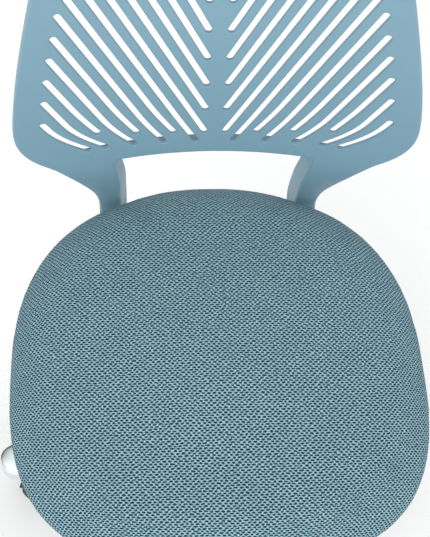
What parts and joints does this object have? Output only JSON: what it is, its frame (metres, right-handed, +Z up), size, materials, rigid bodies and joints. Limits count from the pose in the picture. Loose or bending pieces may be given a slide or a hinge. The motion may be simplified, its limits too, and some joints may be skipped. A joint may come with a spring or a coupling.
{
  "type": "swivel office chair",
  "caption": "Height-adjustable swivel chair: upholstered rounded seat, one-piece slotted plastic backrest on two arms, chromed star base on castors.",
  "frame": {"origin": "on the floor, at the middle of the footprint of the whole chair at rest; the swivel axis stands at x = 0, y = -23.8 mm", "axes": "+Z up; the sitter faces -Y; +X is on the sitter's left"},
  "size_m": [0.529, 0.5054, 0.848],
  "materials": {
    "chrome": "polished plating",
    "zinc_steel": "zinc plated",
    "black_steel": "powder coated",
    "black_nylon": "fine spark texture",
    "wheel_plastic": "smooth",
    "rubber": "matt",
    "back_plastic": "fine moulded texture",
    "seat_fabric": "coarse woven",
    "foam": "open-cell foam",
    "plywood": "raw",
    "felt": "non-woven felt"
  },
  "bodies": {
    "base": {"star_base": "chrome", "gas_column": "black_steel", "column_bush": "black_nylon", "bearing_washer_lower": "zinc_steel", "bearing_cage": "black_nylon"},
    "rod": {"piston_rod": "zinc_steel", "bearing_washer_upper": "zinc_steel", "rod_clip": "zinc_steel", "rubber_buffer": "rubber"},
    "seat": {"gas_cylinder": "chrome", "mechanism_plate": "black_steel", "taper_socket": "black_steel", "lever_bracket": "zinc_steel", "lever_pivot_pin": "zinc_steel", "seat_board": "plywood", "seat_foam": "foam", "seat_cover": "seat_fabric", "dust_cover": "felt", "back_shell": "back_plastic", "mechanism_bolt_1": "zinc_steel", "mechanism_bolt_2": "zinc_steel", "mechanism_bolt_3": "zinc_steel", "mechanism_bolt_4": "zinc_steel", "back_bolt_1": "zinc_steel", "back_bolt_2": "zinc_steel", "back_bolt_3": "zinc_steel", "back_bolt_4": "zinc_steel"},
    "lever": {"lever_arm": "zinc_steel", "lever_grip": "black_nylon"},
    "valve": {"release_pin": "zinc_steel"},
    "castor_1": {"castor_stem_1": "zinc_steel", "castor_body_1": "black_nylon", "castor_axle_1": "zinc_steel"},
    "wheel_1_a": {"castor_wheel_1_a": "wheel_plastic"},
    "wheel_1_b": {"castor_wheel_1_b": "wheel_plastic"},
    "castor_2": {"castor_stem_2": "zinc_steel", "castor_body_2": "black_nylon", "castor_axle_2": "zinc_steel"},
    "wheel_2_a": {"castor_wheel_2_a": "wheel_plastic"},
    "wheel_2_b": {"castor_wheel_2_b": "wheel_plastic"},
    "castor_3": {"castor_stem_3": "zinc_steel", "castor_body_3": "black_nylon", "castor_axle_3": "zinc_steel"},
    "wheel_3_a": {"castor_wheel_3_a": "wheel_plastic"},
    "wheel_3_b": {"castor_wheel_3_b": "wheel_plastic"},
    "castor_4": {"castor_stem_4": "zinc_steel", "castor_body_4": "black_nylon", "castor_axle_4": "zinc_steel"},
    "wheel_4_a": {"castor_wheel_4_a": "wheel_plastic"},
    "wheel_4_b": {"castor_wheel_4_b": "wheel_plastic"},
    "castor_5": {"castor_stem_5": "zinc_steel", "castor_body_5": "black_nylon", "castor_axle_5": "zinc_steel"},
    "wheel_5_a": {"castor_wheel_5_a": "wheel_plastic"},
    "wheel_5_b": {"castor_wheel_5_b": "wheel_plastic"}
  },
  "joints": [
    {"name": "seat_swivel", "type": "hinge", "parent": "base", "child": "rod", "pos_m": [0, -0.02382, 0.05], "axis": [0, 0, 1], "continuous": true},
    {"name": "seat_lift", "type": "slide", "parent": "rod", "child": "seat", "axis": [0, 0, 1], "range_m": [0, 0.1]},
    {"name": "lever_lift", "type": "hinge", "parent": "seat", "child": "lever", "pos_m": [-0.04, -0.02382, 0.3628], "axis": [0, 1, 0], "range_deg": [0, 5], "stiffness_Nm_per_rad": 8, "springref_deg": -2.86},
    {"name": "valve_press", "type": "slide", "parent": "seat", "child": "valve", "axis": [0, 0, -1], "range_m": [0, 0.0039]},
    {"name": "castor_1_swivel", "type": "hinge", "parent": "base", "child": "castor_1", "pos_m": [0, 0.21618, 0.06], "axis": [0, 0, 1], "continuous": true},
    {"name": "wheel_1_a_roll", "type": "hinge", "parent": "castor_1", "child": "wheel_1_a", "pos_m": [0, 0.19618, 0.02452], "axis": [1, 0, 0], "continuous": true},
    {"name": "wheel_1_b_roll", "type": "hinge", "parent": "castor_1", "child": "wheel_1_b", "pos_m": [0, 0.19618, 0.02452], "axis": [1, 0, 0], "continuous": true},
    {"name": "castor_2_swivel", "type": "hinge", "parent": "base", "child": "castor_2", "pos_m": [-0.22825, 0.05035, 0.06], "axis": [0, 0, 1], "continuous": true},
    {"name": "wheel_2_a_roll", "type": "hinge", "parent": "castor_2", "child": "wheel_2_a", "pos_m": [-0.20923, 0.04417, 0.02452], "axis": [0.309, 0.9511, 0], "continuous": true},
    {"name": "wheel_2_b_roll", "type": "hinge", "parent": "castor_2", "child": "wheel_2_b", "pos_m": [-0.20923, 0.04417, 0.02452], "axis": [0.309, 0.9511, 0], "continuous": true},
    {"name": "castor_3_swivel", "type": "hinge", "parent": "base", "child": "castor_3", "pos_m": [-0.14107, -0.21798, 0.06], "axis": [0, 0, 1], "continuous": true},
    {"name": "wheel_3_a_roll", "type": "hinge", "parent": "castor_3", "child": "wheel_3_a", "pos_m": [-0.12931, -0.2018, 0.02452], "axis": [-0.809, 0.5878, 0], "continuous": true},
    {"name": "wheel_3_b_roll", "type": "hinge", "parent": "castor_3", "child": "wheel_3_b", "pos_m": [-0.12931, -0.2018, 0.02452], "axis": [-0.809, 0.5878, 0], "continuous": true},
    {"name": "castor_4_swivel", "type": "hinge", "parent": "base", "child": "castor_4", "pos_m": [0.14107, -0.21798, 0.06], "axis": [0, 0, 1], "continuous": true},
    {"name": "wheel_4_a_roll", "type": "hinge", "parent": "castor_4", "child": "wheel_4_a", "pos_m": [0.12931, -0.2018, 0.02452], "axis": [-0.809, -0.5878, 0], "continuous": true},
    {"name": "wheel_4_b_roll", "type": "hinge", "parent": "castor_4", "child": "wheel_4_b", "pos_m": [0.12931, -0.2018, 0.02452], "axis": [-0.809, -0.5878, 0], "continuous": true},
    {"name": "castor_5_swivel", "type": "hinge", "parent": "base", "child": "castor_5", "pos_m": [0.22825, 0.05035, 0.06], "axis": [0, 0, 1], "continuous": true},
    {"name": "wheel_5_a_roll", "type": "hinge", "parent": "castor_5", "child": "wheel_5_a", "pos_m": [0.20923, 0.04417, 0.02452], "axis": [0.309, -0.9511, 0], "continuous": true},
    {"name": "wheel_5_b_roll", "type": "hinge", "parent": "castor_5", "child": "wheel_5_b", "pos_m": [0.20923, 0.04417, 0.02452], "axis": [0.309, -0.9511, 0], "continuous": true}
  ],
  "couplings": [
    {"joint": "valve_press", "follows": "lever_lift", "m_per_rad": 0.0445}
  ]
}
